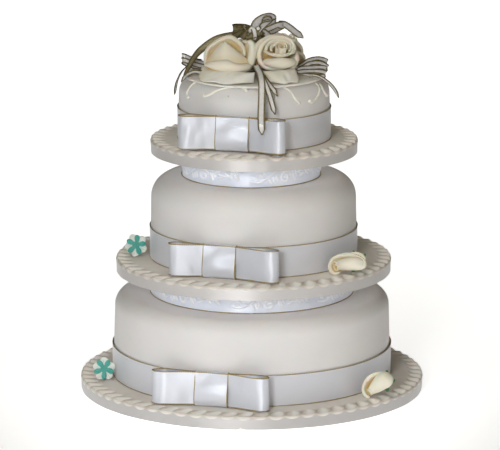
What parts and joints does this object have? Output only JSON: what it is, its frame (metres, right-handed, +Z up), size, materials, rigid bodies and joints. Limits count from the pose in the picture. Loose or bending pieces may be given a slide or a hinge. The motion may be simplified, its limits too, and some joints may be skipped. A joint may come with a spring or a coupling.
{
  "type": "tiered wedding cake",
  "caption": "Tiered iced wedding cake on crimped boards with embossed separators, satin bands and bows, sugar blossoms and a top spray of sugar roses and ribbon loops.",
  "frame": {"origin": "centre of the underside of the bottom board", "axes": "+Z up along the tiers, -Y to the front that the bows face, +X to the right seen from the front"},
  "size_m": [0.3816, 0.3816, 0.4233],
  "materials": {
    "icing": "smooth satin fondant",
    "board_icing": "matte rolled icing, crimped rim",
    "satin_ribbon": "satin weave with a fine gold thread edge",
    "separator_band": "pearly embossed paper",
    "ivory_sugar": "matte sugar paste, yellow in the folds",
    "white_sugar": "matte sugar paste",
    "mint_sugar": "matte sugar paste, darker veins",
    "green_sugar": "matte sugar paste",
    "wired_ribbon": "silver lame with dark gold wired edges"
  },
  "bodies": {
    "root": {"board_bottom": "board_icing", "board_ribbon_bottom": "satin_ribbon", "tier_bottom": "icing", "ribbon_band_bottom": "satin_ribbon", "bow_loops_bottom": "satin_ribbon", "bow_wrap_bottom": "satin_ribbon", "board_middle": "board_icing", "board_ribbon_middle": "satin_ribbon", "tier_middle": "icing", "ribbon_band_middle": "satin_ribbon", "bow_loops_middle": "satin_ribbon", "bow_wrap_middle": "satin_ribbon", "board_top": "board_icing", "board_ribbon_top": "satin_ribbon", "tier_top": "icing", "ribbon_band_top": "satin_ribbon", "bow_loops_top": "satin_ribbon", "bow_wrap_top": "satin_ribbon", "separator_lower": "separator_band", "separator_upper": "separator_band", "blossom_white_bottom": "white_sugar", "blossom_mint_bottom": "mint_sugar", "rosebud_bottom": "ivory_sugar", "rosebud_sepals_bottom": "green_sugar", "blossom_white_middle": "white_sugar", "blossom_mint_middle": "mint_sugar", "rosebud_middle": "ivory_sugar", "rosebud_sepals_middle": "green_sugar", "plaque": "white_sugar", "rose_left": "ivory_sugar", "rose_right": "ivory_sugar", "rose_back": "ivory_sugar", "leaf_front_left": "white_sugar", "leaf_front_right": "white_sugar", "leaf_back_left": "white_sugar", "leaf_back_right": "white_sugar", "spray_ribbon_loop_top": "wired_ribbon", "spray_ribbon_loop_right": "wired_ribbon", "spray_ribbon_tail_right_high": "wired_ribbon", "spray_ribbon_loop_left_high": "wired_ribbon", "spray_ribbon_loop_left_low": "wired_ribbon", "spray_ribbon_arch_left": "wired_ribbon", "spray_ribbon_loop_left_side": "wired_ribbon", "spray_ribbon_tail_left_front": "wired_ribbon", "spray_ribbon_tail_left_back": "wired_ribbon", "spray_ribbon_tail_front_long": "wired_ribbon", "spray_ribbon_tail_front_middle": "wired_ribbon", "spray_ribbon_tail_front_short": "wired_ribbon", "spray_ribbon_loop_right_side": "wired_ribbon", "spray_ribbon_loop_right_low": "wired_ribbon", "spray_ribbon_tail_right_low": "wired_ribbon", "spray_knot": "wired_ribbon"}
  },
  "joints": []
}
